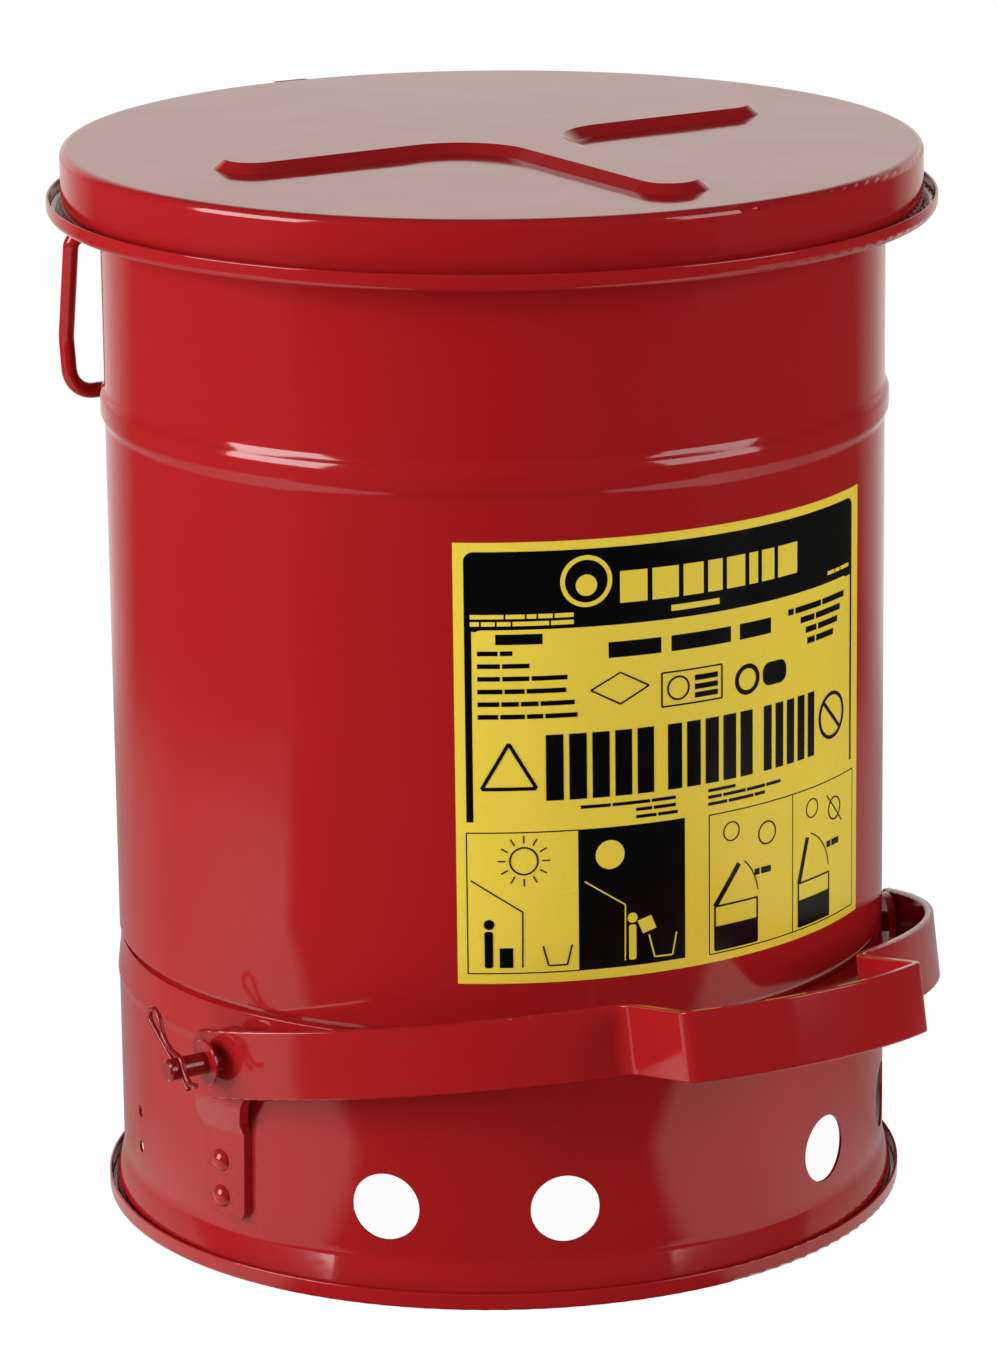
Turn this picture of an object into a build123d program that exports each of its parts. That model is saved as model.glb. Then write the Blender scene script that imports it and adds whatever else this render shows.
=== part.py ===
from build123d import *
import math
import os

os.makedirs("parts", exist_ok=True)

# The can stands on z = 0 with its axis on Z. The pedal is at the front, towards -Y.
# Millimetres and degrees. An azimuth is counted from the front towards +X.

# ---- driving dimensions -------------------------------------------------------------
overall_height = 403.0
sheet = 1.0
gap = 0.1

body_radius = 145.5
bead_centre_z = 307.5
bead_height = 13.0
bead_rise = 1.6
rim_roll_radius = 151.0

lid_radius = 159.4
lid_depth = 24.4
lip_radius = 164.8
lip_height = 6.4
rib_rise = 3.5
rib_width = 31.0
rib_half_span = 117.0
rib_stem_reach = 118.0

skirt_radius = 146.0
seam_top_z = 101.7
seam_bottom_z = 88.0
hem_radius = 152.0
hem_height = 6.5
floor_z = 98.0
vent_radius = 12.7
vent_z = 36.3
vent_azimuths = (23.1, 49.0, 131.0, 156.9)

pivot_y = -50.0
pivot_z = 87.7
shaft_radius = 4.0
running_gap = 0.06
rivet_shank_radius = 2.0
rivet_head_radius = 4.3
bracket_azimuth = 76.0
spare_hole_azimuth = 101.0
bracket_rivet_levels = (43.5, 29.6)
bracket_plate = 3.2
bracket_to_strap = 3.4
washer_stand_off = 3.4

strap_width = 25.4
strap_thickness = 3.2
strap_edge_radius = 0.7
strap_tilt = 11.2
strap_hole_rise = 1.8
strap_pivot_radius = 161.3
strap_side_radii = {60.0: 164.0, 84.0: 157.3}
strap_jog_half_width = 51.5
inner_bend_y = -166.4
tread_corner_y = -205.4
tread_middle_y = -219.2

arm_plane_x = 7.0
arm_pin_x = 0.0
arm_pin_radius = 1.5
arm_thickness = 5.0
arm_height = 13.0
arm_rest_angle = 16.5

rod_y = 160.6
rod_radius = 4.0
rod_bottom_z = 17.0
rod_pin_radius = 2.5
yoke_radius = 3.0
yoke_run_y = 153.0
yoke_run_z = 291.3
yoke_half_width = 98.0
yoke_top = (109.0, 128.0, 358.6)

hinge_y = 172.0
hinge_z = 384.0
hinge_pin_radius = 3.0
knuckle_radius = 5.5
hinge_half_width = 26.0
ear_plate = 2.0
leaf_top_z = 400.0
tongue_top_z = 402.6
tongue_width = 14.0
tongue_azimuth = 2.3

label_azimuth = -2.5
label_arc = 71.0
label_bottom_z = 122.8
label_top_z = 285.5
label_film = 0.2

big = 1000.0


# ---- shared shapes ------------------------------------------------------------------
def outward(azimuth, radius, z):
    """A place on a round wall: local z points away from the can's axis, local y is up."""
    turn = math.radians(azimuth)
    out = Vector(math.sin(turn), -math.cos(turn), 0)
    along = Vector(math.cos(turn), math.sin(turn), 0)
    return Plane(origin=out * radius + Vector(0, 0, z), x_dir=along, z_dir=out)


def folded_strip(points, radii, thickness):
    """The cross-section of bent sheet: a path with rounded corners and rounded edges."""
    path = FilletPolyline(*points, radius=radii)
    return Sketch() + Face(Wire(path.edges()).offset_2d(thickness / 2))


def turned_sheet(points, radii, thickness=sheet):
    """A round shell: bent sheet, drawn as (radius, height), turned about the can's axis."""
    section = folded_strip(points, radii, thickness) & Pos(big / 2, 0) * Rectangle(big, 2 * big)
    return revolve(Plane.XZ * section, Axis.Z)


def bar_x(radius, x_from, x_to, y, z):
    """A round bar along X."""
    centre = Pos((x_from + x_to) / 2, y, z)
    return centre * Rot(0, 90, 0) * Cylinder(radius, x_to - x_from)


def plate_x(outline, x_from, x_to):
    """A flat plate: an outline drawn as (y, z), with its thickness along X."""
    return extrude(Plane.YZ.offset(x_from) * outline, x_to - x_from, dir=(1, 0, 0))


def dome(radius, height):
    """A shallow round head on local z = 0."""
    ball = (radius**2 + height**2) / (2 * height)
    slab = Pos(0, 0, height / 2) * Box(3 * radius, 3 * radius, height)
    return Pos(0, 0, height - ball) * Sphere(ball) & slab


def rivet(grip, head_radius=rivet_head_radius, head_height=2.4):
    """A closed rivet: its domed head is on local z = 0 and its tail is under the grip."""
    tail_height = 1.4
    shank_length = grip + 2 * gap + tail_height / 2
    shank = Pos(0, 0, -shank_length / 2 + gap / 2) * Cylinder(rivet_shank_radius, shank_length + gap)
    tail = Pos(0, 0, -grip - 2 * gap - tail_height / 2) * Cylinder(0.75 * head_radius, tail_height)
    return Pos(0, 0, gap / 2) * dome(head_radius, head_height) + shank + tail


def wall_holes(azimuths, levels, radius):
    """Round drills that go through one side of the wall at each azimuth and level."""
    drills = Part()
    for azimuth in azimuths:
        for z in levels:
            drills += outward(azimuth, body_radius, z) * Cylinder(radius, 30)
    return drills


def rear_plate(inner_radius, thickness, width, low, high):
    """A curved plate that lies on a round wall at the back of the can."""
    ring = Cylinder(inner_radius + thickness, high - low) - Cylinder(inner_radius, 2 * (high - low))
    ring &= Pos(0, big / 2, 0) * Box(width, big, high - low)
    return Pos(0, 0, (low + high) / 2) * ring


def both_sides(azimuths):
    return [side * azimuth for azimuth in azimuths for side in (-1, 1)]


# ---- can body -----------------------------------------------------------------------
body_mid = body_radius - sheet / 2
seam_inner_mid = body_mid - 1.7
skirt_mid = skirt_radius - sheet / 2
shell_bottom_z = 93.0
rim_top_z = overall_height - sheet - 0.3


def rim_path():
    """Corners of the rolled rim that the lid closes over."""
    outer = rim_roll_radius - sheet / 2
    top = rim_top_z - sheet / 2
    return [(body_mid, top), (outer, top), (outer, top - 6.0), (body_mid + 1.6, top - 6.0)]


hinge_plate_z = (351.0, 375.0)
hinge_rivet_azimuths = (173.0, 187.0)
hinge_rivet_levels = (357.0, 369.0)
guide_levels = (135.0, 235.0)
guide_rivet_azimuths = (174.0, 186.0)


def body_shell():
    """The can's wall, joggled in at the foot to fit the base skirt, with one bead and a rolled rim."""
    half = bead_height / 2
    flat = 0.25 * bead_height
    out = body_mid + bead_rise
    foot = [(seam_inner_mid, shell_bottom_z), (seam_inner_mid, 102.2), (body_mid, 105.2)]
    bead = [
        (body_mid, bead_centre_z - half),
        (out, bead_centre_z - flat),
        (out, bead_centre_z + flat),
        (body_mid, bead_centre_z + half),
    ]
    radii = [1.5, 1.5] + [5.0] * 4 + [2.2] * 3
    wall = turned_sheet(foot + bead + rim_path(), radii)
    wall -= wall_holes(hinge_rivet_azimuths, hinge_rivet_levels, rivet_shank_radius + 0.05)
    return wall - wall_holes(guide_rivet_azimuths, guide_levels, rivet_shank_radius + 0.05)


def base_skirt():
    """The vented skirt under the floor, with a flared foot rolled outwards to a hem."""
    hem_mid = hem_radius - sheet / 2
    points = [
        (body_radius - 1.1, seam_top_z - sheet / 2),
        (skirt_mid + 0.45, seam_bottom_z),
        (skirt_mid, seam_bottom_z - 3.0),
        (skirt_mid, 17.0),
        (hem_mid - 3.0, 6.0),
        (hem_mid - 3.0, sheet / 2),
        (hem_mid, sheet / 2),
        (hem_mid, hem_height - sheet / 2),
    ]
    skirt = turned_sheet(points, [1.5, 1.5, 14.0, 3.0, 1.0, 1.0])
    skirt -= wall_holes(both_sides(vent_azimuths), [vent_z], vent_radius)
    skirt -= wall_holes(both_sides([bracket_azimuth]), bracket_rivet_levels, rivet_shank_radius + 0.05)
    skirt -= wall_holes(both_sides([spare_hole_azimuth]), bracket_rivet_levels, 2.3)
    skirt -= bar_x(shaft_radius + 0.5, -hem_radius, hem_radius, pivot_y, pivot_z)
    arm_slot = SlotOverall(67.5, arm_thickness + 5.0, rotation=90)
    return skirt - Plane.XZ.offset(-skirt_radius) * Pos(arm_plane_x, 53.3) * extrude(arm_slot, 15, both=True)


def bottom_pan():
    """The raised floor, dished so that its flange stands up inside the wall."""
    flange = seam_inner_mid - sheet - gap
    return turned_sheet([(-20, floor_z), (flange, floor_z), (flange, floor_z + 9.0)], [3.0])


def label():
    """A thin printed film wrapped on the front of the wall."""
    height = label_top_z - label_bottom_z
    film = Pos(body_radius + 0.05 + label_film / 2, (label_top_z + label_bottom_z) / 2)
    band = revolve(Plane.XZ * film * Rectangle(label_film, height), Axis.Z, label_arc)
    return Rot(0, 0, -90 + label_azimuth - label_arc / 2) * band


# ---- pedal pivot --------------------------------------------------------------------
bracket_lower_mid = skirt_radius + 0.05 + bracket_plate / 2
bracket_upper_mid = strap_pivot_radius - strap_thickness - bracket_to_strap - bracket_plate / 2


def pivot_bracket(side):
    """One side bracket: flat on the skirt below, joggled out to carry the pivot shaft above."""
    path = [
        (bracket_lower_mid, 10.0),
        (bracket_lower_mid, 56.0),
        (bracket_upper_mid, 69.0),
        (bracket_upper_mid, 110.0),
    ]
    joggled = turned_sheet(path, [6.0, 6.0], bracket_plate)
    leg = Polygon((-27, 22), (-27, 62), (-39.5, 85), (-60.3, 83), (-48, 60), (-47, 22), align=None)
    leg = fillet(leg.vertices().sort_by(Axis.Y)[:2], 4.0)
    outline = leg + Pos(pivot_y, pivot_z) * Circle(11.0)
    reach = (110.0, 170.0) if side > 0 else (-170.0, -110.0)
    bracket = joggled & plate_x(outline, *reach)
    bracket -= bar_x(shaft_radius + running_gap, *reach, pivot_y, pivot_z)
    return bracket - wall_holes([side * bracket_azimuth], bracket_rivet_levels, rivet_shank_radius + 0.05)


def bracket_rivets(side):
    """The two rivets that hold one pivot bracket to the skirt."""
    seat = bracket_lower_mid + bracket_plate / 2
    grip = seat - skirt_radius + sheet
    return Part() + [outward(side * bracket_azimuth, seat, z) * rivet(grip) for z in bracket_rivet_levels]


def strap_outline():
    """Plan of the foot strap, in its own plane: a bowed tread, two jogs and two curved arms."""
    stretch = 1 / math.cos(math.radians(strap_tilt))

    def in_plane(x, y):
        return (x, pivot_y + (y - pivot_y) * stretch)

    def on_side(side, azimuth, radius):
        turn = math.radians(azimuth)
        return in_plane(side * radius * math.sin(turn), -radius * math.cos(turn))

    def arm(side):
        bends = [on_side(side, azimuth, radius) for azimuth, radius in strap_side_radii.items()]
        return ThreePointArc(in_plane(side * jog, inner_bend_y), *bends)

    jog = strap_jog_half_width
    left_arm = arm(-1)
    right_arm = arm(1)
    tread_points = [(-jog, tread_corner_y), (0, tread_middle_y), (jog, tread_corner_y)]
    tread = ThreePointArc(*[in_plane(x, y) for x, y in tread_points])
    edges = [
        left_arm,
        Line(left_arm @ 0, tread @ 0),
        tread,
        Line(tread @ 1, right_arm @ 0),
        right_arm,
        Line(right_arm @ 1, left_arm @ 1),
    ]
    outline = make_face(Curve() + edges)
    bend_level = (left_arm @ 0).Y
    tread_bends = [corner for corner in outline.vertices() if corner.Y < bend_level - 10]
    outline = fillet(tread_bends, 6.0)
    inner_bends = [corner for corner in outline.vertices() if abs(corner.Y - bend_level) < 1]
    return fillet(inner_bends, 8.0)


def pedal_strap():
    """The foot strap: flat bar bent round the front of the can, with a hole in each end."""
    outline = strap_outline()
    band = outline - offset(outline, -strap_thickness)
    end_y = pivot_y + 13.5
    band = extrude(band, strap_width / 2, both=True)
    band = fillet(band.faces().filter_by(Axis.Z).edges(), strap_edge_radius)
    corner = 5.0
    side_view = Polygon(
        (-big, -strap_width / 2),
        (end_y - corner, -strap_width / 2),
        (end_y, -strap_width / 2 + corner),
        (end_y, strap_width / 2 - corner),
        (end_y - corner, strap_width / 2),
        (-big, strap_width / 2),
        align=None,
    )
    band &= plate_x(side_view, -big, big)
    band -= bar_x(shaft_radius + 0.05, -big, big, pivot_y, strap_hole_rise)
    level = Pos(0, pivot_y, pivot_z) * Rot(-strap_tilt, 0, 0) * Pos(0, -pivot_y, -strap_hole_rise)
    return level * band


strap_outer_at_pivot = math.sqrt(strap_pivot_radius**2 - pivot_y**2)
washer_inner_x = strap_outer_at_pivot + washer_stand_off
washer_thickness = 1.6
washer_outer_x = washer_inner_x + washer_thickness
clip_x = -(washer_outer_x + 11.0)
clip_wire = 1.0
clip_turn = 34.0


def pivot_shaft():
    """The cross shaft, headed on the right: the strap and the lift arm are both fixed on it."""
    shaft = bar_x(shaft_radius, clip_x - 4.5, washer_outer_x + 1.0, pivot_y, pivot_z)
    shaft = chamfer(shaft.edges().filter_by(GeomType.CIRCLE).sort_by(Axis.X)[0], 0.8)
    head = bar_x(6.5, washer_outer_x + 0.05, washer_outer_x + 2.4, pivot_y, pivot_z)
    shaft += chamfer(head.edges().filter_by(GeomType.CIRCLE).sort_by(Axis.X)[-1], 0.6)
    cross_hole = Pos(clip_x, pivot_y, pivot_z) * Rot(90 + clip_turn, 0, 0)
    shaft -= cross_hole * Cylinder(clip_wire + 0.05, 30)
    return shaft - Pos(arm_pin_x, pivot_y, pivot_z) * Cylinder(arm_pin_radius + 0.05, 30)


def washer(side):
    """A plain washer outside the strap."""
    x = side * (washer_inner_x + washer_thickness / 2)
    ring = Cylinder(8.5, washer_thickness)
    ring = chamfer(ring.edges().filter_by(GeomType.CIRCLE), 0.4)
    ring -= Cylinder(shaft_radius + 0.05, 2 * washer_thickness)
    return Pos(x, pivot_y, pivot_z) * Rot(0, 90, 0) * ring


def r_clip():
    """A hairpin clip: one leg through the shaft, one leg waved over it, joined by a round eye."""
    over = shaft_radius + clip_wire + 0.3
    eye_x = -22.0
    eye_radius = 3.2
    straight = Line((10.0, 0), (eye_x, 0))
    eye = ThreePointArc((eye_x, 0), (eye_x - eye_radius, eye_radius), (eye_x, 2 * eye_radius))
    wave = Spline(
        (eye_x, 2 * eye_radius),
        (-14.5, 3.0),
        (-8.5, 2.4),
        (-4.4, 3.5),
        (0, over),
        (4.4, 3.5),
        (8.5, 2.6),
        (13.0, 5.6),
        tangents=[(1, 0), (0.7, 0.7)],
    )
    path = Wire([*straight.edges(), *eye.edges(), *wave.edges()])
    wire = sweep(Plane(path @ 0, z_dir=path % 0) * Circle(clip_wire), path=path)
    # The clip is drawn in XY: X towards the front, Y upwards, then stood beside the shaft.
    stand = Plane(origin=(clip_x, pivot_y, pivot_z), x_dir=(0, -1, 0), z_dir=(-1, 0, 0))
    return stand * Rot(0, 0, -clip_turn) * wire


# ---- lifting gear under and behind the can ------------------------------------------
hub_radius = 8.0
arm_length_to_pin = (rod_y - pivot_y) / math.cos(math.radians(arm_rest_angle))


def arm_pin_level(angle):
    return pivot_z - (rod_y - pivot_y) * math.tan(math.radians(angle))


rod_pin_z = arm_pin_level(arm_rest_angle)
arm_slot_half_height = rod_pin_radius + 0.75


def lift_arm():
    """The lever under the floor: a hub pinned on the shaft and a flat bar out to the lift rod."""
    slot_travel = 12.0
    length = arm_length_to_pin + 16.0
    bar = Pos(length / 2, 0) * Rectangle(length, arm_height)
    bar = fillet(bar.vertices().sort_by(Axis.X)[-2:], 5.0)
    bar += Pos(arm_length_to_pin - 3.0, 0) * Rectangle(36.0, arm_height + 3.0)
    slot = SlotCenterToCenter(slot_travel, 2 * arm_slot_half_height)
    bar -= Pos(arm_length_to_pin - 4.0, -0.35) * slot
    x_from = arm_plane_x - arm_thickness / 2
    at_rest = Pos(0, pivot_y, pivot_z) * Rot(-arm_rest_angle, 0, 0)
    blade = at_rest * plate_x(bar, x_from, x_from + arm_thickness)
    hub = bar_x(hub_radius, arm_plane_x - 14.0, arm_plane_x + 6.0, pivot_y, pivot_z)
    arm = blade + hub - bar_x(shaft_radius + 0.03, -big, big, pivot_y, pivot_z)
    return arm - Pos(arm_pin_x, pivot_y, pivot_z) * Cylinder(arm_pin_radius + 0.05, 40)


def lift_arm_pin():
    """The roll pin that fixes the lift arm's hub on the shaft."""
    return Pos(arm_pin_x, pivot_y, pivot_z) * Cylinder(arm_pin_radius, 2 * hub_radius + 1.0)


rod_top_z = yoke_run_z + 5.0


def lift_rod():
    """The upright rod behind the can."""
    length = rod_top_z - rod_bottom_z
    rod = Pos(0, rod_y, rod_bottom_z + length / 2) * Cylinder(rod_radius, length)
    rod = chamfer(rod.edges().filter_by(GeomType.CIRCLE), 0.6)
    return rod - bar_x(rod_pin_radius + 0.05, -20, 20, rod_y, rod_pin_z)


rod_pin_end_x = arm_plane_x + arm_thickness / 2 + 4.0
rod_pin_groove_x = rod_pin_end_x - 2.4


def rod_pin():
    """The headed pin at the foot of the lift rod, sliding in the lift arm's slot."""
    pin = bar_x(rod_pin_radius, -rod_radius - 0.8, rod_pin_end_x, rod_y, rod_pin_z)
    pin += bar_x(4.5, -rod_radius - 2.6, -rod_radius - 0.6, rod_y, rod_pin_z)
    groove = bar_x(5, rod_pin_groove_x, rod_pin_groove_x + 1.2, rod_y, rod_pin_z)
    return pin - (groove - bar_x(1.9, -20, 20, rod_y, rod_pin_z))


def rod_pin_clip():
    """The spring clip in the groove of the rod pin."""
    ring = bar_x(4.6, rod_pin_groove_x + gap, rod_pin_groove_x + 1.2 - gap, rod_y, rod_pin_z)
    ring -= bar_x(1.95, -20, 20, rod_y, rod_pin_z)
    mouth = Pos(rod_pin_groove_x, rod_y + 5, rod_pin_z) * Box(6, 10, 3.0)
    return ring - mouth


guide_plate = 2.0
guide_seat = body_radius + 0.05


def rod_guide(z):
    """A guide on the back of the can: a curved foot on the wall, a web, and a sleeve round the rod."""
    foot_height = 16.0
    foot = rear_plate(guide_seat, guide_plate, 46.0, -foot_height / 2, foot_height / 2)
    web = Pos(0, (guide_seat + rod_y) / 2, 0) * Box(6.0, rod_y - guide_seat, 9.0)
    web -= Cylinder(guide_seat, foot_height)
    sleeve = Pos(0, rod_y, 0) * Cylinder(rod_radius + 2.6, 12.0)
    guide = foot + web + sleeve - Pos(0, rod_y, 0) * Cylinder(rod_radius + 0.1, 60)
    return Pos(0, 0, z) * guide - wall_holes(guide_rivet_azimuths, [z], rivet_shank_radius + 0.05)


def rod_guide_rivets():
    """Two rivets in each rod guide."""
    seat = guide_seat + guide_plate
    grip = seat - body_radius + sheet
    places = [(azimuth, z) for azimuth in guide_rivet_azimuths for z in guide_levels]
    return Part() + [outward(azimuth, seat, z) * rivet(grip, 3.6, 1.8) for azimuth, z in places]


def lift_yoke():
    """The wire yoke: a run behind the can and two legs that rise to the lid, turned in at the top."""
    top_x, top_y, top_z = yoke_top
    right = [
        (yoke_half_width, yoke_run_y, yoke_run_z),
        (yoke_half_width + 2.5, yoke_run_y - 2.0, yoke_run_z + 22.7),
        (top_x, top_y, top_z),
        (top_x - 15.0, top_y, top_z),
    ]
    left = [(-x, y, z) for x, y, z in right]
    points = list(reversed(left)) + right
    path = FilletPolyline(*points, radius=[5.0, 14.0, 11.0, 11.0, 14.0, 5.0])
    return sweep(Plane(path @ 0, z_dir=path % 0) * Circle(yoke_radius), path=path)


clamp_height = 12.0
clamp_bottom_z = yoke_run_z - clamp_height / 2
clamp_screw_radius = 1.5
clamp_screw_xs = (-8.0, 8.0)


def yoke_clamp():
    """The block that joins the yoke to the top of the lift rod."""
    low_y = yoke_run_y - yoke_radius - 0.6
    high_y = rod_y + rod_radius + 3.0
    block = Box(26.0, high_y - low_y, clamp_height)
    block = fillet(block.edges().filter_by(Axis.Z), 2.0)
    block = Pos(0, (low_y + high_y) / 2, yoke_run_z) * block
    block -= bar_x(yoke_radius + 0.05, -60, 60, yoke_run_y, yoke_run_z)
    block -= Pos(0, rod_y, yoke_run_z) * Cylinder(rod_radius + 0.05, 60)
    for x in clamp_screw_xs:
        block -= Pos(x, yoke_run_y, clamp_bottom_z) * Cylinder(clamp_screw_radius + 0.05, 12)
    return block


def clamp_screws():
    """Two screws that pinch the yoke wire in the clamp."""
    head_z = clamp_bottom_z - 1.3
    tip_z = yoke_run_z - yoke_radius - gap
    screws = Part()
    for x in clamp_screw_xs:
        head = Pos(x, yoke_run_y, head_z) * extrude(RegularPolygon(3.0, 6), 1.2, both=True)
        shank = Pos(x, yoke_run_y, (tip_z + head_z) / 2) * Cylinder(clamp_screw_radius, tip_z - head_z)
        screws += head + shank
    return screws


# ---- lid and hinge ------------------------------------------------------------------
def rib_outline():
    """Plan of the pressed T: a bar across the lid and a stem to the front."""
    bar = SlotOverall(2 * rib_half_span, rib_width)
    stem = Pos(0, -rib_stem_reach / 2) * SlotOverall(rib_stem_reach + rib_width, rib_width, rotation=90)
    return bar + (stem & Pos(0, -big / 2) * Rectangle(big, big))


def rib_press(height):
    """The stiffening T as a block with sloping sides, its upper edge rounded."""
    outline = rib_outline()
    half = rib_width / 2
    inner_corners = [Vector(-half, -half), Vector(half, -half)]
    corners = [v for v in outline.vertices() if min((Vector(v) - c).length for c in inner_corners) < 0.1]
    outline = fillet(corners, 24.0)
    return extrude(outline, height, taper=50)


def lid():
    """The lid: a pressed cover with a T-shaped rib, a skirt and an open lip rolled up at its edge."""
    top = overall_height - sheet / 2
    wall = lid_radius - sheet / 2
    lip = lip_radius - sheet / 2
    bottom = overall_height - lid_depth + sheet / 2
    lip_top = overall_height - lid_depth + lip_height - sheet / 2
    points = [(-20, top), (wall, top), (wall, bottom), (lip, bottom), (lip, lip_top)]
    roll = 0.48 * (lip - wall)
    cover = turned_sheet(points, [2.5, roll, roll])
    base_z = overall_height - 0.6
    rib = Pos(0, 0, base_z) * rib_press(rib_rise + 0.6)
    hollow = Pos(0, 0, base_z - sheet) * rib_press(rib_rise + 0.6)
    return cover + rib - hollow


def lift_tab(side):
    """A tab inside the lid's skirt: the yoke's turned end pushes up under its lower edge."""
    x_inner = 96.0
    plate = 2.4
    rest = math.atan2(hinge_z - yoke_top[2], hinge_y - yoke_top[1])
    along = Vector(-math.cos(rest), -math.sin(rest))
    above = Vector(-math.sin(rest), math.cos(rest))
    foot_line = Vector(hinge_y, hinge_z) + above * (yoke_radius + 1.05)
    near = foot_line + along * 43.0
    far = foot_line + along * 55.0
    wall_y = math.sqrt((lid_radius - sheet - 0.05) ** 2 - (x_inner + plate) ** 2)
    front_y = wall_y - 6.7
    top_z = overall_height - 7.0
    under_lip_z = overall_height - lid_depth - 1.0
    outline = Polygon(
        (near.X, near.Y),
        (far.X, far.Y),
        (front_y, under_lip_z),
        (front_y, top_z),
        (wall_y, top_z),
        (wall_y, under_lip_z),
        (near.X, under_lip_z - 1.0),
        align=None,
    )
    x_from = x_inner if side > 0 else -x_inner - plate
    return plate_x(outline, x_from, x_from + plate)


def lid_hinge_strap():
    """The lid's hinge leaf: fixed on the back of the lid's skirt, over the lip, rolled round the pin."""
    plate = 2.0
    inner = lid_radius + 0.05
    half = hinge_half_width - 0.3
    web_top = hinge_z + knuckle_radius
    web_bottom = web_top - plate
    leaf = rear_plate(inner, plate, 2 * half, web_bottom, leaf_top_z)
    tongue = rear_plate(inner, plate, tongue_width, web_bottom, tongue_top_z)
    tongue = fillet(tongue.faces().sort_by(Axis.Z)[-1].edges(), 0.6)
    leaf += Rot(0, 0, -tongue_azimuth) * tongue
    web = Pos(0, hinge_y - big / 2, web_top - plate / 2) * Box(2 * half, big, plate)
    web -= Cylinder(inner, 2 * big)
    web &= Pos(0, big / 2, 0) * Box(big, big, 2 * big)
    strap = leaf + web + bar_x(knuckle_radius, -half, half, hinge_y, hinge_z)
    return strap - bar_x(hinge_pin_radius + running_gap, -60, 60, hinge_y, hinge_z)


def hinge_bracket():
    """The body's hinge bracket: a curved plate riveted to the wall with two ears out to the pin."""
    low, high = hinge_plate_z
    inner = body_radius + 0.05
    half = hinge_half_width + ear_plate
    plate = rear_plate(inner, ear_plate, 2 * half, low, high)
    boss = knuckle_radius + 1.1
    ear = Polygon(
        (142, low),
        (160, low),
        (176, 366),
        (hinge_y + boss, hinge_z),
        (hinge_y - boss, hinge_z),
        (162, high),
        (142, high),
        align=None,
    )
    ear += Pos(hinge_y, hinge_z) * Circle(boss)
    ears = plate_x(ear, -half, -half + ear_plate) + plate_x(ear, half - ear_plate, half)
    ears -= Cylinder(inner, 2 * big)
    bracket = plate + ears
    bracket -= bar_x(hinge_pin_radius + 0.03, -60, 60, hinge_y, hinge_z)
    return bracket - wall_holes(hinge_rivet_azimuths, hinge_rivet_levels, rivet_shank_radius + 0.05)


def hinge_bracket_rivets():
    """The four rivets of the hinge bracket."""
    seat = body_radius + 0.05 + ear_plate
    grip = seat - body_radius + sheet
    places = [(azimuth, z) for azimuth in hinge_rivet_azimuths for z in hinge_rivet_levels]
    return Part() + [outward(azimuth, seat, z) * rivet(grip, 3.6, 1.8) for azimuth, z in places]


hinge_pin_end = hinge_half_width + ear_plate + 4.5


def hinge_pin():
    """The hinge pin, grooved at both ends."""
    pin = bar_x(hinge_pin_radius, -hinge_pin_end, hinge_pin_end, hinge_y, hinge_z)
    pin = chamfer(pin.edges().filter_by(GeomType.CIRCLE), 0.5)
    for side in (-1, 1):
        x = side * (hinge_pin_end - 2.6)
        pin -= bar_x(6, x - 0.6, x + 0.6, hinge_y, hinge_z) - bar_x(2.3, -60, 60, hinge_y, hinge_z)
    return pin


def hinge_pin_clips():
    """The two spring clips on the hinge pin."""
    clips = Part()
    for side in (-1, 1):
        x = side * (hinge_pin_end - 2.6)
        ring = bar_x(5.6, x - 0.5, x + 0.5, hinge_y, hinge_z) - bar_x(2.35, -60, 60, hinge_y, hinge_z)
        clips += ring - Pos(x, hinge_y + 6, hinge_z) * Box(6, 12, 3.6)
    return clips


# ---- nodes --------------------------------------------------------------------------
nodes = {
    "body_shell": body_shell(),
    "base_skirt": base_skirt(),
    "bottom_pan": bottom_pan(),
    "label": label(),
    "left_pivot_bracket": pivot_bracket(-1),
    "right_pivot_bracket": pivot_bracket(1),
    "left_bracket_rivets": bracket_rivets(-1),
    "right_bracket_rivets": bracket_rivets(1),
    "hinge_bracket": hinge_bracket(),
    "hinge_bracket_rivets": hinge_bracket_rivets(),
    "hinge_pin": hinge_pin(),
    "hinge_pin_clips": hinge_pin_clips(),
    "lower_rod_guide": rod_guide(guide_levels[0]),
    "upper_rod_guide": rod_guide(guide_levels[1]),
    "rod_guide_rivets": rod_guide_rivets(),
    "pedal_strap": pedal_strap(),
    "pivot_shaft": pivot_shaft(),
    "lift_arm": lift_arm(),
    "lift_arm_pin": lift_arm_pin(),
    "left_washer": washer(-1),
    "right_washer": washer(1),
    "r_clip": r_clip(),
    "lift_rod": lift_rod(),
    "rod_pin": rod_pin(),
    "rod_pin_clip": rod_pin_clip(),
    "lift_yoke": lift_yoke(),
    "yoke_clamp": yoke_clamp(),
    "clamp_screws": clamp_screws(),
    "lid": lid(),
    "lid_hinge_strap": lid_hinge_strap(),
    "left_lift_tab": lift_tab(-1),
    "right_lift_tab": lift_tab(1),
}
for name, shape in nodes.items():
    export_step(shape, f"parts/{name}.step")
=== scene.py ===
import math

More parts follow.
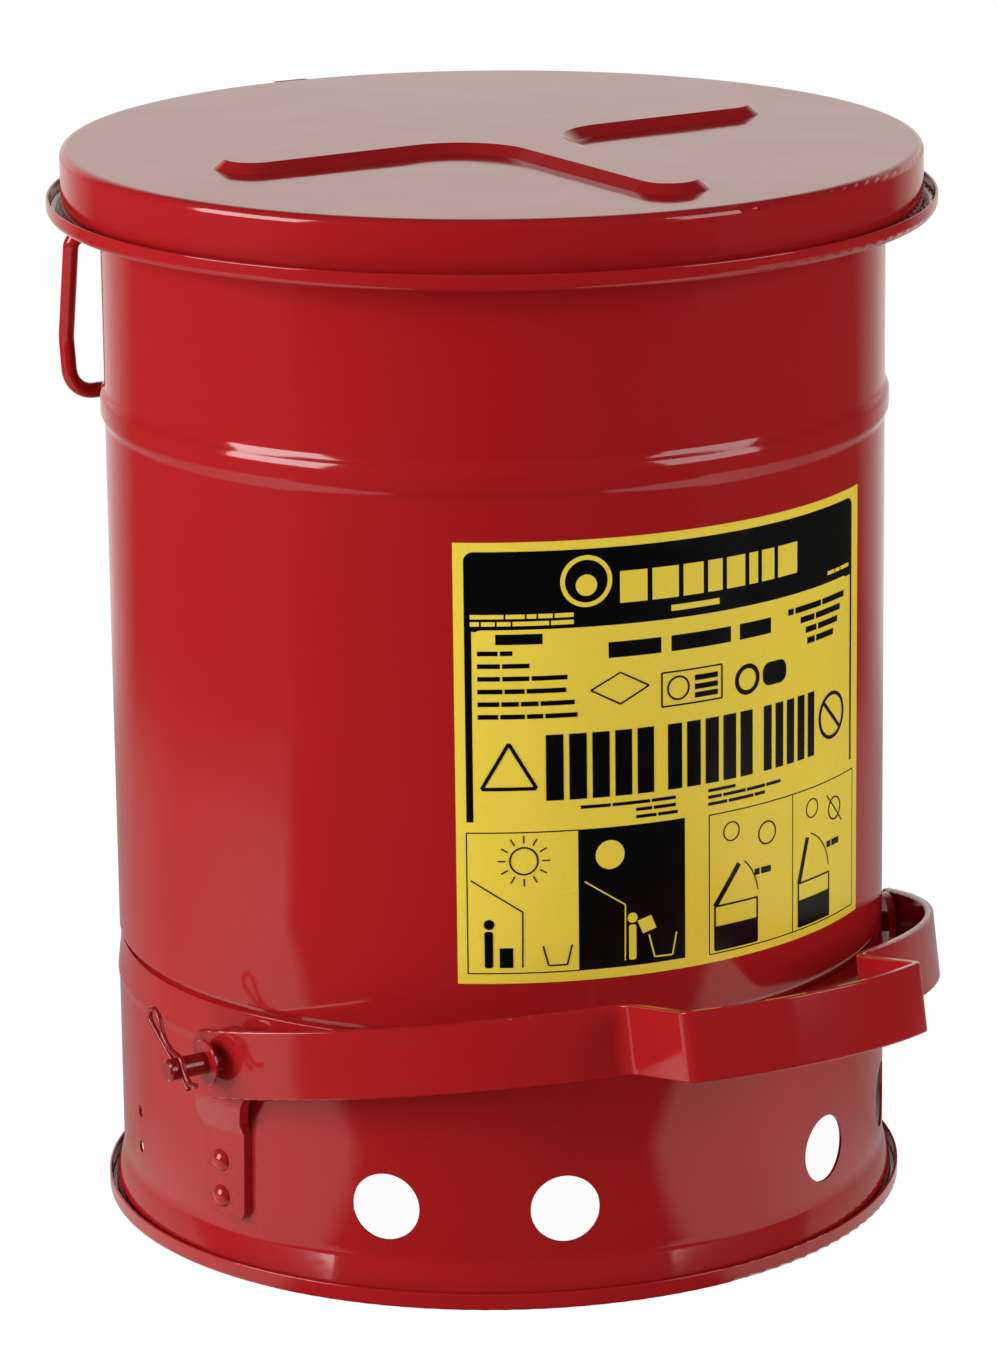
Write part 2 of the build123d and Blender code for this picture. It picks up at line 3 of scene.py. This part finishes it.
import bmesh
import bpy
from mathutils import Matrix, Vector


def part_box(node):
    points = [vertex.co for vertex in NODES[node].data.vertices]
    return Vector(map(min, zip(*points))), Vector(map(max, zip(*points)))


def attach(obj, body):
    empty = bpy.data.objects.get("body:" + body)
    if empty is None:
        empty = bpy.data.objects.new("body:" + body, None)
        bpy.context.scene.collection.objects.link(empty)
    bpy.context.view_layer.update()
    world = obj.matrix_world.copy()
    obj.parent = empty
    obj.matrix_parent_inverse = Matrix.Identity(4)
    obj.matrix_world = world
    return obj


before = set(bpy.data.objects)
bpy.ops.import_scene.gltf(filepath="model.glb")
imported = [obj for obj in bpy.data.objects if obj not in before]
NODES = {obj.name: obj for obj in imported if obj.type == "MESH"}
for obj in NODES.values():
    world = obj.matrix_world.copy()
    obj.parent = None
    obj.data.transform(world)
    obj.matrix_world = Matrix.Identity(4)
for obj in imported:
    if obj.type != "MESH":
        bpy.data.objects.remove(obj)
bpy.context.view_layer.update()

# ---- named values, in metres and degrees ---------------------------------------------
MM = 0.001
LABEL_LOW, LABEL_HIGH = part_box("label")
LABEL_RADIUS = -LABEL_LOW.y
LABEL_LEFT = math.asin(LABEL_LOW.x / LABEL_RADIUS)
LABEL_RIGHT = math.asin(LABEL_HIGH.x / LABEL_RADIUS)
LABEL_MIDDLE = (LABEL_LEFT + LABEL_RIGHT) / 2
LABEL_MIDDLE_Z = (LABEL_LOW.z + LABEL_HIGH.z) / 2
HALF_U = LABEL_RADIUS * (LABEL_RIGHT - LABEL_LEFT) / 2 / MM
INK_STEP = 0.05 * MM
STRIP_WIDTH = 2
BAR_GAP = 0.9
NARROW_GAP = 0.7

CAMERA_PLACE = (-1.131, -1.831, 0.783)
CAMERA_PITCH = 15.02
CAMERA_HEADING = 34.3
LENS = 157.1
SENSOR = 36.0
SHIFT_X = -0.191
SHIFT_Y = -0.015
VIEW_AZIMUTH = 31.7

BOX_DISTANCE = 1.7
BOX_WIDTH = 0.95
BOX_HEIGHT = 0.95
BOX_ELEVATION = 16.0
LEFT_BOX_AZIMUTH = 64.0
LEFT_BOX_GLOW = 8.6
RIGHT_BOX_AZIMUTH = -62.0
RIGHT_BOX_GLOW = 4.0
FLOOR_HALF_SIZE = 30.0
BACKDROP_GLOW = 1.0
WARM_WHITE = (1.0, 0.945, 0.875, 1.0)


# ---- small node helpers ----------------------------------------------------------------
class Shader:
    """One node tree being filled in: each call adds a node and returns its first output."""

    def __init__(self, name, owner=None):
        self.material = owner or bpy.data.materials.new(name)
        self.material.use_nodes = True
        self.tree = self.material.node_tree
        self.tree.nodes.clear()

    def add(self, kind, inputs=None, **settings):
        node = self.tree.nodes.new(kind)
        for key, value in settings.items():
            setattr(node, key, value)
        for key, value in (inputs or {}).items():
            self.feed(node.inputs[key], value)
        return node

    def feed(self, socket, value):
        if isinstance(value, bpy.types.NodeSocket):
            self.tree.links.new(value, socket)
        else:
            socket.default_value = value

    def place(self):
        """The point in the part's own frame, in metres."""
        return self.add("ShaderNodeTexCoord").outputs["Object"]

    def noise(self, scale, detail=3.0, roughness=0.5, vector=None):
        inputs = {"Vector": vector or self.place(), "Scale": scale, "Detail": detail, "Roughness": roughness}
        return self.add("ShaderNodeTexNoise", inputs).outputs["Fac"]

    def math(self, operation, a, b=0.0):
        return self.add("ShaderNodeMath", {0: a, 1: b}, operation=operation).outputs[0]

    def dot(self, a, b):
        node = self.add("ShaderNodeVectorMath", {0: a, 1: b}, operation="DOT_PRODUCT")
        return node.outputs["Value"]

    def spread(self, value, low, high, new_low, new_high, blend="LINEAR"):
        """value from low..high to new_low..new_high, clamped."""
        inputs = {"Value": value, "From Min": low, "From Max": high, "To Min": new_low, "To Max": new_high}
        return self.add("ShaderNodeMapRange", inputs, interpolation_type=blend).outputs["Result"]

    def mix(self, share, a, b):
        node = self.add("ShaderNodeMix", data_type="RGBA")
        self.feed(node.inputs["Factor"], share)
        self.feed(node.inputs[6], a)
        self.feed(node.inputs[7], b)
        return node.outputs[2]

    def bump(self, height, distance, normal=None):
        inputs = {"Height": height, "Distance": distance}
        if normal is not None:
            inputs["Normal"] = normal
        return self.add("ShaderNodeBump", inputs).outputs["Normal"]

    def emission(self, colour, strength):
        return self.add("ShaderNodeEmission", {"Color": colour, "Strength": strength}).outputs["Emission"]

    def blend_surfaces(self, share, a, b):
        return self.add("ShaderNodeMixShader", {0: share, 1: a, 2: b}).outputs["Shader"]

    def principled(self, **inputs):
        named = {key.replace("_", " "): value for key, value in inputs.items()}
        return self.add("ShaderNodeBsdfPrincipled", named).outputs["BSDF"]

    def finish(self, surface):
        output = self.add("ShaderNodeOutputMaterial")
        self.tree.links.new(surface, output.inputs["Surface"])
        return self.material


def rgba(red, green, blue):
    return (red, green, blue, 1.0)


# ---- materials -------------------------------------------------------------------------
def red_enamel(name, tone_a, tone_b, roughness=0.07, ripple=1.0):
    """Baked gloss enamel on steel: deep red, faint orange peel, worn darker and duller at the edges."""
    shader = Shader(name)
    body = shader.mix(shader.noise(7.0, 2.0), tone_a, tone_b)
    pointed = shader.add("ShaderNodeNewGeometry").outputs["Pointiness"]
    edge = shader.spread(pointed, 0.53, 0.62, 0.0, 1.0)
    flake = shader.spread(shader.noise(700.0, 2.0), 0.5, 0.66, 0.0, 1.0)
    wear = shader.math("MULTIPLY", edge, shader.math("MULTIPLY", flake, 0.45))
    colour = shader.mix(wear, body, rgba(0.16, 0.006, 0.007))
    wave = shader.bump(shader.noise(24.0, 1.0, 0.4), 0.0003 * ripple)
    peel = shader.bump(shader.noise(380.0, 2.0, 0.4), 0.000009 * ripple, wave)
    smear = shader.spread(shader.noise(13.0, 4.0, 0.6), 0.35, 0.75, 0.0, 0.05)
    rough = shader.math("ADD", smear, shader.math("ADD", roughness, shader.math("MULTIPLY", wear, 0.3)))
    return shader.finish(shader.principled(Base_Color=colour, Roughness=rough, Normal=peel, IOR=1.5))


def label_film():
    """Yellow vinyl film: even print with a fine grain, soft gloss and a slight lift here and there."""
    shader = Shader("label_film")
    tone = shader.mix(shader.noise(9.0, 3.0), rgba(1.0, 0.76, 0.070), rgba(0.95, 0.71, 0.062))
    grain = shader.spread(shader.noise(1800.0, 1.0), 0.3, 0.7, 0.96, 1.03)
    hue = shader.add("ShaderNodeHueSaturation", {"Color": tone, "Value": grain}).outputs["Color"]
    lift = shader.bump(shader.noise(30.0, 2.0), 0.00012)
    texture = shader.bump(shader.noise(1500.0, 1.0), 0.000004, lift)
    rough = shader.spread(shader.noise(40.0, 3.0), 0.3, 0.7, 0.20, 0.30)
    return shader.finish(shader.principled(Base_Color=hue, Roughness=rough, Normal=texture, IOR=1.46))


def printing_ink(name, tone, roughness, sheen=0.5):
    """Screen ink on the film: dense, with faint speckle and a slightly uneven gloss."""
    shader = Shader(name)
    speckle = shader.spread(shader.noise(2500.0, 1.0), 0.62, 0.78, 0.0, 0.25)
    colour = shader.mix(speckle, tone, rgba(*[min(1.0, part * 1.5 + 0.004) for part in tone[:3]]))
    rough = shader.spread(shader.noise(60.0, 2.0), 0.3, 0.7, roughness - 0.04, roughness + 0.05)
    lift = shader.bump(shader.noise(900.0, 2.0), 0.000004)
    ink = shader.principled(Base_Color=colour, Roughness=rough, Normal=lift, Specular_IOR_Level=sheen)
    return shader.finish(ink)


def paint_cad_nodes():
    """Every CAD piece takes its finish: enamel for the metal, film for the label."""
    bright = rgba(0.43, 0.0130, 0.0150)
    deep = rgba(0.39, 0.0110, 0.0130)
    sheet_enamel = red_enamel("sheet_enamel", bright, deep)
    bar_enamel = red_enamel("bar_enamel", bright, deep, 0.09, 0.6)
    # The thin wires and the pivot shaft take a darker copy of the same red enamel: painted shade.
    wire_enamel = red_enamel("wire_enamel", rgba(0.30, 0.008, 0.010), rgba(0.25, 0.007, 0.009), 0.14, 0.3)
    sheet_nodes = ("body_shell", "base_skirt", "bottom_pan", "lid")
    wire_nodes = ("r_clip", "rod_pin_clip", "hinge_pin_clips", "pivot_shaft")
    film = label_film()
    for name, node in NODES.items():
        if name == "label":
            finish = film
        elif name in sheet_nodes:
            finish = sheet_enamel
        elif name in wire_nodes:
            finish = wire_enamel
        else:
            finish = bar_enamel
        node.data.materials.clear()
        node.data.materials.append(finish)


# ---- label print -------------------------------------------------------------------------
# Outlines are drawn flat in millimetres from the label's middle: u to the right, v upwards.
def block(left, low, right, high):
    return [[(left, low), (right, low), (right, high), (left, high)]]


def stroke(start, end, width):
    """A straight line of the given width."""
    start, end = Vector(start), Vector(end)
    along = (end - start).normalized()
    side = Vector((-along.y, along.x)) * width / 2
    return [[tuple(p) for p in (start - side, end - side, end + side, start + side)]]


def polyline(points, width):
    pieces = []
    for start, end in zip(points, points[1:]):
        pieces += stroke(start, end, width)
    return pieces


def outline_box(left, low, right, high, width):
    corners = [(left, low), (right, low), (right, high), (left, high), (left, low)]
    return polyline(corners, width)


def round_points(centre, radius, count=36, start=0.0, turn=360.0):
    angles = [math.radians(start + turn * i / count) for i in range(count + 1)]
    return [(centre[0] + radius * math.cos(a), centre[1] + radius * math.sin(a)) for a in angles]


def disc(centre, radius):
    return [round_points(centre, radius)[:-1]]


def ring(centre, radius, width):
    outer = round_points(centre, radius + width / 2)
    inner = round_points(centre, radius - width / 2)
    return [[inner[i], outer[i], outer[i + 1], inner[i + 1]] for i in range(len(outer) - 1)]


def rounded_block(left, low, right, high, radius, corners="abcd"):
    """A block whose named corners (a low left, b low right, c high right, d high left) are rounded."""
    spots = {
        "a": (left + radius, low + radius, 180, (left, low)),
        "b": (right - radius, low + radius, 270, (right, low)),
        "c": (right - radius, high - radius, 0, (right, high)),
        "d": (left + radius, high - radius, 90, (left, high)),
    }
    points = []
    for key, (u, v, start, corner) in spots.items():
        if key in corners:
            points += round_points((u, v), radius, 8, start, 90)
        else:
            points.append(corner)
    return [points]


def word_row(left, right, low, high, words, space=BAR_GAP):
    """A line of lettering reduced to plain bars, one for each word length in the list."""
    unit = (right - left - space * (len(words) - 1)) / sum(words)
    pieces = []
    for length in words:
        pieces += block(left, low, left + unit * length, high)
        left += unit * length + space
    return pieces


def print_on_label(name, outlines, ink, layer):
    """Flat outlines cut into narrow strips and wrapped on the can's wall, just above the film."""
    cutting = bmesh.new()
    for outline in outlines:
        cutting.faces.new([cutting.verts.new((u, v, 0)) for u, v in outline])
    bmesh.ops.triangulate(cutting, faces=cutting.faces[:])
    for column in range(int(-HALF_U), int(HALF_U), STRIP_WIDTH):
        everything = cutting.verts[:] + cutting.edges[:] + cutting.faces[:]
        bmesh.ops.bisect_plane(cutting, geom=everything, plane_co=(column, 0, 0), plane_no=(1, 0, 0))
    radius = LABEL_RADIUS + layer * INK_STEP
    for vert in cutting.verts:
        azimuth = LABEL_MIDDLE + vert.co.x * MM / LABEL_RADIUS
        height = LABEL_MIDDLE_Z + vert.co.y * MM
        vert.co = (radius * math.sin(azimuth), -radius * math.cos(azimuth), height)
    mesh = bpy.data.meshes.new(name)
    cutting.to_mesh(mesh)
    cutting.free()
    mesh.materials.append(ink)
    piece = bpy.data.objects.new(name, mesh)
    bpy.context.scene.collection.objects.link(piece)
    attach(piece, "can")


def label_frame():
    """The black header with its side stripes, and the frames of the four pictures below."""
    header_low = 49.0
    black = rounded_block(-86.5, header_low, 84.8, 78.0, 3.5, "cd")
    black += block(-86.5, -21.0, -84.0, header_low)
    black += block(83.4, -21.8, 84.8, header_low)
    black += outline_box(-86.6, -77.5, -46.4, -25.0, 0.45)
    black += block(-46.3, -77.6, -5.8, -24.9)
    black += outline_box(4.4, -78.2, 86.2, -25.6, 0.45)
    black += polyline([(44.8, -78.2), (44.8, -25.6)], 0.45)
    return black


def label_words():
    """The lines of small lettering on the yellow ground, as plain bars."""
    words = word_row(-75.5, -58.8, 44.2, 48.0, [1])
    rows = [[5, 3], [5, 6], [5, 6, 8], [5, 4, 8], [5, 4, 4, 8], [5, 6, 4, 8]]
    ends = [-69.5, -63.5, -50.0, -50.5, -47.5, -46.5]
    for index, (row, end) in enumerate(zip(rows, ends)):
        high = 41.9 - index * 4.65
        words += word_row(-82.0, end, high - 1.7, high, row, 0.8)
    words += word_row(-35.0, 33.0, 37.6, 43.4, [4, 5, 3], 4.0)
    right_rows = [(42, 78, [1, 5, 5]), (49, 75, [3, 6]), (52, 73, [3, 6]), (53, 70, [2, 5])]
    for index, (left, right, row) in enumerate(right_rows):
        high = 44.4 - index * 4.2
        words += word_row(left, right, high - 2.3, high, row)
    words += word_row(-45.6, -9.5, -17.2, -16.0, [7, 9, 6], NARROW_GAP)
    words += word_row(-25.0, -9.5, -19.9, -18.7, [5, 7], NARROW_GAP)
    words += word_row(-25.0, -8.7, -22.6, -21.4, [6, 6], NARROW_GAP)
    words += word_row(4.0, 16.0, -16.9, -15.7, [1], NARROW_GAP)
    words += word_row(4.0, 38.0, -19.4, -18.2, [4, 7, 6, 5], NARROW_GAP)
    words += word_row(4.0, 30.0, -22.0, -20.8, [5, 7, 3], NARROW_GAP)
    words += word_row(25.0, 33.0, -52.0, -49.6, [1, 2], 0.8)
    words += word_row(66.0, 74.5, -51.0, -48.6, [1, 2], 0.8)
    return words


def label_headline():
    """The headline: three groups of five tall plain blocks."""
    pieces = []
    for left, right in ((-58.0, -18.0), (-12.5, 24.0), (29.5, 57.4)):
        pieces += word_row(left, right, -13.5, 10.8, [1] * 5, 2.1)
    return pieces


def label_signs():
    """Plain shapes in the places of the signs and pictures."""
    signs = polyline([(-71.2, 7.9), (-81.0, -8.8), (-61.4, -8.8), (-71.2, 7.9)], 1.3)
    signs += ring((69.3, -1.0), 8.3, 1.4)
    signs += stroke((63.6, 4.7), (75.0, -6.7), 1.4)
    signs += polyline([(-41.6, 26.2), (-30.7, 32.0), (-19.8, 26.2), (-30.7, 20.4), (-41.6, 26.2)], 0.6)
    signs += outline_box(-14.8, 17.5, 10.0, 30.0, 0.6)
    signs += ring((-8.2, 23.8), 4.2, 0.7)
    signs += word_row(-1.5, 8.2, 25.6, 27.6, [1], NARROW_GAP)
    signs += word_row(-1.5, 8.2, 22.3, 24.3, [1], NARROW_GAP)
    signs += word_row(-1.5, 8.2, 19.2, 21.2, [1], NARROW_GAP)
    signs += ring((21.6, 22.4), 4.9, 1.7)
    signs += rounded_block(29.0, 18.2, 41.0, 26.8, 3.4)
    signs += ring((-66.2, -35.6), 5.0, 0.6)
    for turn in range(0, 360, 30):
        near, far = (round_points((-66.2, -35.6), reach, 1, turn)[0] for reach in (6.6, 9.4))
        signs += stroke(near, far, 0.5)
    signs += polyline([(-85.2, -42.7), (-66.8, -54.6), (-67.0, -75.4)], 0.5)
    signs += disc((-78.9, -59.2), 1.9)
    signs += rounded_block(-80.6, -75.4, -77.6, -61.8, 0.9)
    signs += block(-75.2, -75.4, -70.4, -68.0)
    signs += polyline([(-59.6, -67.6), (-57.7, -75.0), (-50.9, -75.0), (-49.1, -67.6)], 0.6)
    for left, fill in ((6.8, -68.0), (48.1, -67.0)):
        signs += outline_box(left, -77.0, left + 19.4, -60.4, 0.7)
        signs += block(left, -77.0, left + 19.4, fill)
    signs += stroke((6.8, -60.4), (17.6, -46.0), 2.0)
    signs += stroke((48.4, -60.4), (53.4, -43.9), 2.0)
    signs += polyline(round_points((6.8, -60.4), 20.0, 10, 8, 40), 0.45)
    signs += polyline(round_points((48.4, -60.4), 19.0, 10, 8, 60), 0.45)
    signs += ring((14.2, -33.2), 3.5, 0.5) + ring((56.3, -33.4), 3.5, 0.5)
    signs += ring((31.2, -37.0), 4.2, 0.6) + ring((71.5, -37.0), 4.2, 0.6)
    signs += stroke((66.0, -31.0), (77.0, -43.0), 0.5)
    return signs


def label_reversed():
    """Shapes printed in yellow on the black parts."""
    shapes = rounded_block(-83.8, 30.0, 80.8, 49.6, 3.4, "cd")
    shapes += ring((-42.9, 66.3), 8.6, 1.7) + disc((-42.9, 64.8), 3.9)
    shapes += word_row(-30.6, 47.0, 57.4, 69.0, [5, 5, 4, 3, 4, 2, 3, 5], 1.9)
    shapes += word_row(-11.0, 9.0, 52.4, 54.6, [1], NARROW_GAP)
    shapes += word_row(-84.4, -47.6, 53.6, 55.2, [7, 4, 2, 3, 4], NARROW_GAP)
    shapes += word_row(-84.4, -47.6, 51.0, 52.6, [2, 3, 3, 8, 5], NARROW_GAP)
    shapes += word_row(66.0, 82.0, 52.4, 53.8, [3, 2, 4], 0.6)
    shapes += disc((-34.9, -35.1), 5.4)
    shapes += polyline([(-44.4, -44.4), (-29.3, -54.4), (-29.5, -75.4)], 0.5)
    shapes += disc((-26.6, -59.6), 1.9)
    shapes += rounded_block(-28.0, -75.4, -25.2, -62.2, 0.9)
    shapes += [[(-24.8, -61.0), (-19.4, -59.4), (-17.4, -64.4), (-22.6, -66.0)]]
    shapes += polyline([(-20.3, -66.7), (-18.1, -75.3), (-11.0, -75.5), (-9.4, -67.2)], 0.6)
    return shapes


def print_label():
    black = printing_ink("black_ink", rgba(0.003, 0.003, 0.003), 0.22, 0.25)
    yellow = printing_ink("yellow_ink", rgba(0.97, 0.73, 0.065), 0.24)
    print_on_label("label_frame", label_frame(), black, 1)
    print_on_label("label_reversed", label_reversed(), yellow, 2)
    print_on_label("label_words", label_words(), black, 3)
    print_on_label("label_headline", label_headline(), black, 3)
    print_on_label("label_signs", label_signs(), black, 3)


# ---- floor, light and camera -------------------------------------------------------------
def toward_view():
    """The level direction from the can towards the camera."""
    turn = math.radians(VIEW_AZIMUTH)
    return Vector((-math.sin(turn), -math.cos(turn), 0))


def studio_floor():
    """A pale floor that runs to the horizon. In reflections it glows as a painted pool of light round the
    can, with a painted shadow cut out of it.
    """
    mesh = bpy.data.meshes.new("floor")
    half = FLOOR_HALF_SIZE
    corners = [(-half, -half, 0), (half, -half, 0), (half, half, 0), (-half, half, 0)]
    mesh.from_pydata(corners, [], [(0, 1, 2, 3)])
    floor = bpy.data.objects.new("floor", mesh)
    bpy.context.scene.collection.objects.link(floor)
    shader = Shader("pale_floor")
    paths = shader.add("ShaderNodeLightPath").outputs
    spot = shader.place()
    distance = shader.add("ShaderNodeVectorMath", {0: spot}, operation="LENGTH").outputs["Value"]
    facing = shader.math("DIVIDE", shader.dot(spot, toward_view()), distance)
    # Painted reflection: an emission pool of light that only glossy rays see, set by direction and distance
    # from the can.
    near = shader.spread(facing, -0.17, 0.42, 0.36, 0.92)
    far = shader.spread(facing, -0.9, -0.6, 0.75, 0.06)
    farness = shader.spread(distance, 0.6, 0.95, 0.0, 1.0, "SMOOTHSTEP")
    painted_light_pool = shader.add("ShaderNodeMix", {"Factor": farness, "A": near, "B": far}).outputs["Result"]
    # Painted shadow: the pool is cut dark straight in front of the can, on the camera's side, inside this
    # edge.
    painted_shadow_edge = shader.spread(distance, 0.3, 0.55, 0.83, 0.53)
    painted_shadow_mask = shader.spread(shader.math("SUBTRACT", facing, painted_shadow_edge), -0.03, 0.03, 1.0, 0.02, "SMOOTHSTEP")
    painted_light_pool = shader.emission(WARM_WHITE, shader.math("MULTIPLY", painted_light_pool, painted_shadow_mask))
    shade = shader.mix(shader.noise(1.5), rgba(0.82, 0.82, 0.82), rgba(0.78, 0.78, 0.78))
    matt = shader.principled(Base_Color=shade, Roughness=0.9, Specular_IOR_Level=0.0)
    seen = shader.blend_surfaces(0.12, shader.emission(rgba(1.0, 1.0, 1.0), 1.10), matt)
    # Glossy rays see the painted pool of light and painted shadow; other rays see the matt floor.
    surface = shader.blend_surfaces(paths["Is Glossy Ray"], matt, painted_light_pool)
    mesh.materials.append(shader.finish(shader.blend_surfaces(paths["Is Camera Ray"], surface, seen)))


def studio_world():
    """White all round to the eye; in reflections it is bright behind the can and dim in front."""
    world = bpy.data.worlds.new("studio")
    bpy.context.scene.world = world
    shader = Shader("studio", world)
    paths = shader.add("ShaderNodeLightPath").outputs
    direction = shader.add("ShaderNodeTexCoord").outputs["Generated"]
    away = shader.dot(direction, -toward_view())
    glossy = shader.spread(away, 0.62, 0.9, 0.05, BACKDROP_GLOW, "SMOOTHSTEP")
    strength = shader.spread(paths["Is Glossy Ray"], 0.0, 1.0, 0.2, glossy)
    strength = shader.spread(paths["Is Camera Ray"], 0.0, 1.0, strength, 1.05)
    tint = shader.mix(paths["Is Camera Ray"], WARM_WHITE, rgba(1.0, 1.0, 1.0))
    background = shader.add("ShaderNodeBackground", {"Color": tint, "Strength": strength})
    output = shader.add("ShaderNodeOutputWorld")
    shader.tree.links.new(background.outputs["Background"], output.inputs["Surface"])


def soft_box(name, azimuth, glow):
    """A rectangular light that faces the can; its azimuth is counted from the camera's side."""
    turn = math.radians(VIEW_AZIMUTH + azimuth)
    rise = math.radians(BOX_ELEVATION)
    out = Vector((-math.sin(turn) * math.cos(rise), -math.cos(turn) * math.cos(rise), math.sin(rise)))
    light = bpy.data.lights.new(name, "AREA")
    light.shape = "RECTANGLE"
    light.size = BOX_WIDTH
    light.size_y = BOX_HEIGHT
    light.energy = glow * math.pi * BOX_WIDTH * BOX_HEIGHT
    box = bpy.data.objects.new(name, light)
    bpy.context.scene.collection.objects.link(box)
    box.location = Vector((0, 0, 0.2)) + out * BOX_DISTANCE
    box.rotation_euler = (-out).to_track_quat("-Z", "Y").to_euler()


def camera():
    """The camera stands to the front left of the can and looks down at it."""
    data = bpy.data.cameras.new("camera")
    data.sensor_width = SENSOR
    data.lens = LENS
    data.shift_x = SHIFT_X
    data.shift_y = SHIFT_Y
    eye = bpy.data.objects.new("camera", data)
    bpy.context.scene.collection.objects.link(eye)
    eye.location = CAMERA_PLACE
    eye.rotation_euler = (math.radians(90 - CAMERA_PITCH), 0, math.radians(-CAMERA_HEADING))
    bpy.context.scene.camera = eye


paint_cad_nodes()
print_label()
studio_floor()
studio_world()
soft_box("left_box", LEFT_BOX_AZIMUTH, LEFT_BOX_GLOW)
soft_box("right_box", RIGHT_BOX_AZIMUTH, RIGHT_BOX_GLOW)
camera()
bpy.context.scene.view_settings.view_transform = "Standard"
